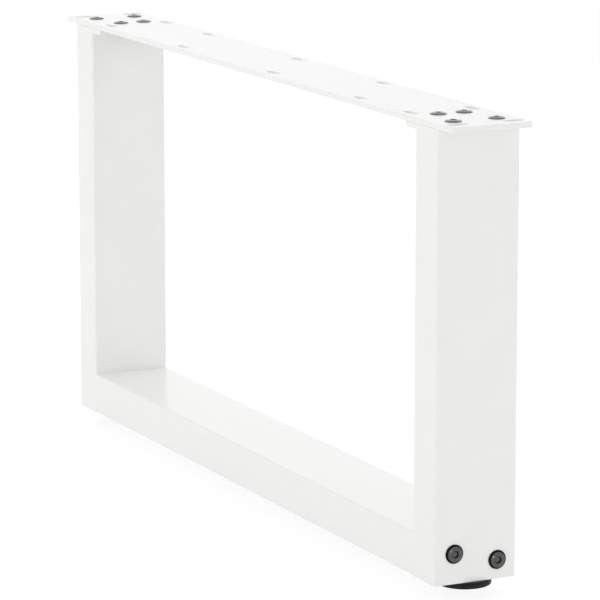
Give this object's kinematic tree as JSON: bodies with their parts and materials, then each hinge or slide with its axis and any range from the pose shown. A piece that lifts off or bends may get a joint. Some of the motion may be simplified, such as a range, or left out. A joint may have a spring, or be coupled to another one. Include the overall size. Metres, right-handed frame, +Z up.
{
  "type": "table leg",
  "caption": "U-shaped steel table leg: rectangular tube uprights joined by a floor-level crossbar, with a slotted top fixing plate and screw-adjustable round feet.",
  "frame": {"origin": "on the floor, midway between the feet, with the feet screwed fully in", "axes": "+X along the leg, +Y across it, +Z up towards the table top"},
  "size_m": [0.828, 0.08, 0.4115],
  "materials": {
    "white_coat": "satin white powder coat",
    "dark_fastener": "satin black",
    "zinc_steel": "bright zinc",
    "foot_plastic": "fine matt black"
  },
  "bodies": {
    "frame": {"top_plate": "white_coat", "crossbar": "white_coat", "right_upright": "white_coat", "left_upright": "white_coat", "right_flange": "white_coat", "left_flange": "white_coat", "right_flange_weld": "white_coat", "left_flange_weld": "white_coat", "right_crossbar_end_plate": "white_coat", "left_crossbar_end_plate": "white_coat", "right_foot_plate": "white_coat", "left_foot_plate": "white_coat", "right_plate_screws": "dark_fastener", "left_plate_screws": "dark_fastener", "right_crossbar_bolts": "dark_fastener", "left_crossbar_bolts": "dark_fastener", "right_bolt_sleeves": "zinc_steel", "left_bolt_sleeves": "zinc_steel", "right_foot_nut": "zinc_steel", "left_foot_nut": "zinc_steel"},
    "right_foot": {"right_foot_stud": "zinc_steel", "right_foot_pad": "foot_plastic"},
    "left_foot": {"left_foot_stud": "zinc_steel", "left_foot_pad": "foot_plastic"}
  },
  "joints": [
    {"name": "right_foot_height", "type": "slide", "parent": "frame", "child": "right_foot", "axis": [0, 0, -1], "range_m": [0, 0.01]},
    {"name": "left_foot_height", "type": "slide", "parent": "frame", "child": "left_foot", "axis": [0, 0, -1], "range_m": [0, 0.01]}
  ]
}
